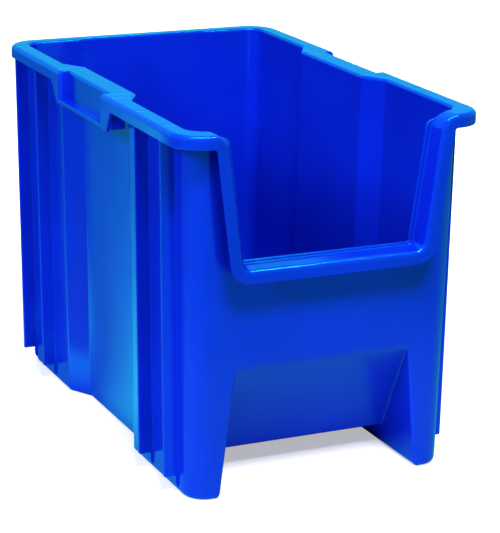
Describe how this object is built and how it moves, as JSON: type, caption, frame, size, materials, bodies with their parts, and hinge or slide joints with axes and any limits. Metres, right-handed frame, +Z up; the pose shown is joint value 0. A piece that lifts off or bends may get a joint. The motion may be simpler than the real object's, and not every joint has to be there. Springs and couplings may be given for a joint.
{
  "type": "stackable storage bin",
  "caption": "Open-front stackable storage bin moulded in glossy blue plastic, with side stacking ribs, recessed side handles and a flanged hopper mouth.",
  "frame": {"origin": "centre of the bounding box in plan, at the underside the bin stands on", "axes": "+Z up, -Y towards the open hopper front, +X to the right as seen from the front"},
  "size_m": [0.2762, 0.4444, 0.3175],
  "materials": {
    "wall_plastic": "glossy injection-moulded polypropylene, blue",
    "rim_plastic": "glossy injection-moulded polypropylene, blue",
    "base_plastic": "glossy injection-moulded polypropylene, blue",
    "rib_plastic": "glossy injection-moulded polypropylene, blue"
  },
  "bodies": {
    "root": {"floor_panel": "base_plastic", "hopper_ramp": "base_plastic", "left_runner": "base_plastic", "right_runner": "base_plastic", "left_runner_cheek": "base_plastic", "right_runner_cheek": "base_plastic", "front_wall": "wall_plastic", "left_front_foot": "base_plastic", "right_front_foot": "base_plastic", "left_front_post": "wall_plastic", "right_front_post": "wall_plastic", "left_front_corner": "wall_plastic", "right_front_corner": "wall_plastic", "left_front_panel": "wall_plastic", "right_front_panel": "wall_plastic", "left_recess_front_slope": "wall_plastic", "right_recess_front_slope": "wall_plastic", "left_recess_panel": "wall_plastic", "right_recess_panel": "wall_plastic", "left_recess_rear_slope": "wall_plastic", "right_recess_rear_slope": "wall_plastic", "left_rear_panel": "wall_plastic", "right_rear_panel": "wall_plastic", "left_rear_corner": "wall_plastic", "right_rear_corner": "wall_plastic", "rear_wall": "wall_plastic", "left_rim": "rim_plastic", "right_rim": "rim_plastic", "rear_rim": "rim_plastic", "left_rear_rim_corner": "rim_plastic", "right_rear_rim_corner": "rim_plastic", "left_front_rim_corner": "rim_plastic", "right_front_rim_corner": "rim_plastic", "left_hopper_flange": "rim_plastic", "right_hopper_flange": "rim_plastic", "front_lip": "rim_plastic", "left_handle": "rib_plastic", "right_handle": "rib_plastic", "left_rib_1": "rib_plastic", "left_rib_2": "rib_plastic", "left_rib_3": "rib_plastic", "left_rib_4": "rib_plastic", "right_rib_1": "rib_plastic", "right_rib_2": "rib_plastic", "right_rib_3": "rib_plastic", "right_rib_4": "rib_plastic", "left_base_lugs": "rib_plastic", "right_base_lugs": "rib_plastic"}
  },
  "joints": []
}
